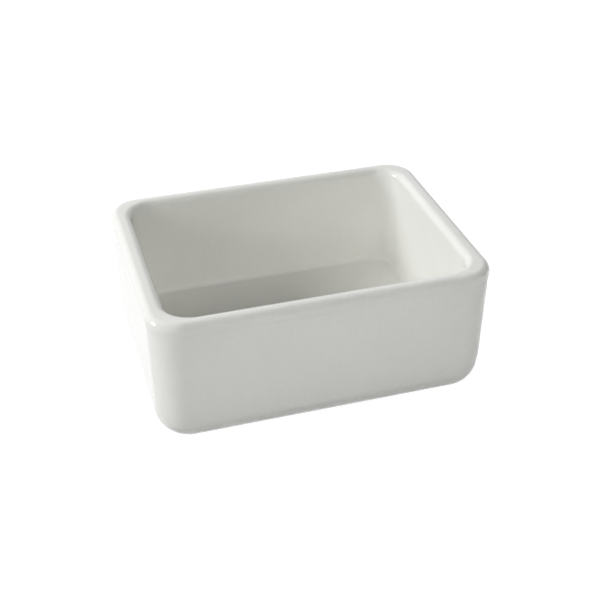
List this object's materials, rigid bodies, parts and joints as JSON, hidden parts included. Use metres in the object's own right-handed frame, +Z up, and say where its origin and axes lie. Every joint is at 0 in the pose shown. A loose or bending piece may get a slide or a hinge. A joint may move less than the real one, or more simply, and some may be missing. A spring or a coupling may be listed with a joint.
{
  "type": "farmhouse apron front sink",
  "caption": "White fireclay farmhouse sink: a deep bowl with rounded corners behind an apron front. The basket strainer waste in its floor has a lift-out basket and a push-down stopper.",
  "frame": {"origin": "where the outlet's axis meets the plane of the sink's underside, at the middle of the sink's plan", "axes": "+Z up, +X to the right seen from the apron, -Y out through the apron"},
  "size_m": [0.6064, 0.4604, 0.3977],
  "materials": {
    "fireclay": "gloss",
    "stainless_steel": "satin",
    "chrome": "polished",
    "brass": "satin",
    "rubber": "matte",
    "fibre": "matte",
    "polythene": "satin"
  },
  "bodies": {
    "sink": {"sink_body": "fireclay", "flange_seal": "rubber", "strainer_body": "stainless_steel", "sink_washer": "rubber", "friction_ring": "fibre", "lock_nut": "brass", "tailpiece_washer": "polythene", "tailpiece": "chrome", "coupling_nut": "chrome"},
    "basket": {"basket_cup": "stainless_steel", "post_grommet": "rubber"},
    "stopper": {"stopper_disc": "rubber", "stopper_plate": "stainless_steel", "stopper_nut": "brass", "stopper_post": "stainless_steel", "post_knob": "chrome"}
  },
  "joints": [
    {"name": "basket_lift", "type": "slide", "parent": "sink", "child": "basket", "axis": [0, 0, 1], "range_m": [0, 0.3]},
    {"name": "stopper_lift", "type": "slide", "parent": "basket", "child": "stopper", "axis": [0, 0, 1], "range_m": [0, 0.008]}
  ]
}
